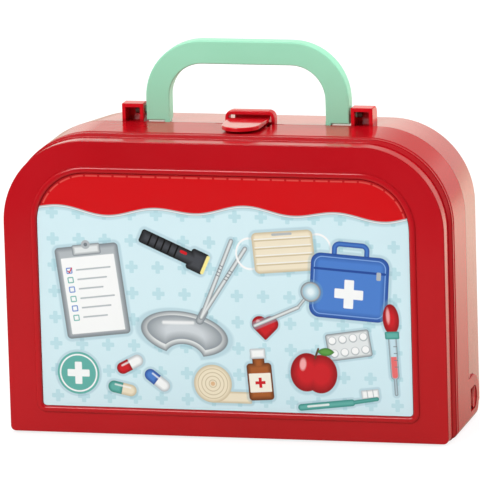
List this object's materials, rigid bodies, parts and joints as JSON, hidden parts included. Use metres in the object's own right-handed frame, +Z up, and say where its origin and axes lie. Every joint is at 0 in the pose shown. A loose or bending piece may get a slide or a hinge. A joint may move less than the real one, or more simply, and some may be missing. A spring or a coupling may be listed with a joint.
{
  "type": "toy doctor case",
  "caption": "Arched moulded toy doctor case with two hinged shells, a folding carrying handle, a hooked latch tongue and a printed card in a bezel.",
  "frame": {"origin": "middle of the bounding box on the ground, under the closed standing case", "axes": "+Z up, +X to the right seen from the printed front, +Y from the printed front towards the back"},
  "size_m": [0.2624, 0.1062, 0.2232],
  "materials": {
    "shell_red": "glossy injection moulded, solid red",
    "handle_mint": "satin injection moulded, mint green",
    "printed_card": "laminated printed card, red above and light blue below"
  },
  "bodies": {
    "front": {"front_shell": "shell_red", "label_card": "printed_card"},
    "lid": {"rear_shell": "shell_red"},
    "handle": {"handle": "handle_mint"},
    "latch": {"latch_tongue": "shell_red"}
  },
  "joints": [
    {"name": "lid_hinge", "type": "hinge", "parent": "front", "child": "lid", "pos_m": [0, 0.01515, 0.0133], "axis": [-1, 0, 0], "range_deg": [0, 90]},
    {"name": "handle_hinge", "type": "hinge", "parent": "lid", "child": "handle", "pos_m": [0.0032, 0.00755, 0.181], "axis": [-1, 0, 0], "range_deg": [0, 90]},
    {"name": "latch_hinge", "type": "hinge", "parent": "front", "child": "latch", "pos_m": [0.005, -0.00285, 0.1707], "axis": [-1, 0, 0], "range_deg": [0, 12], "stiffness_Nm_per_rad": 0.01}
  ]
}
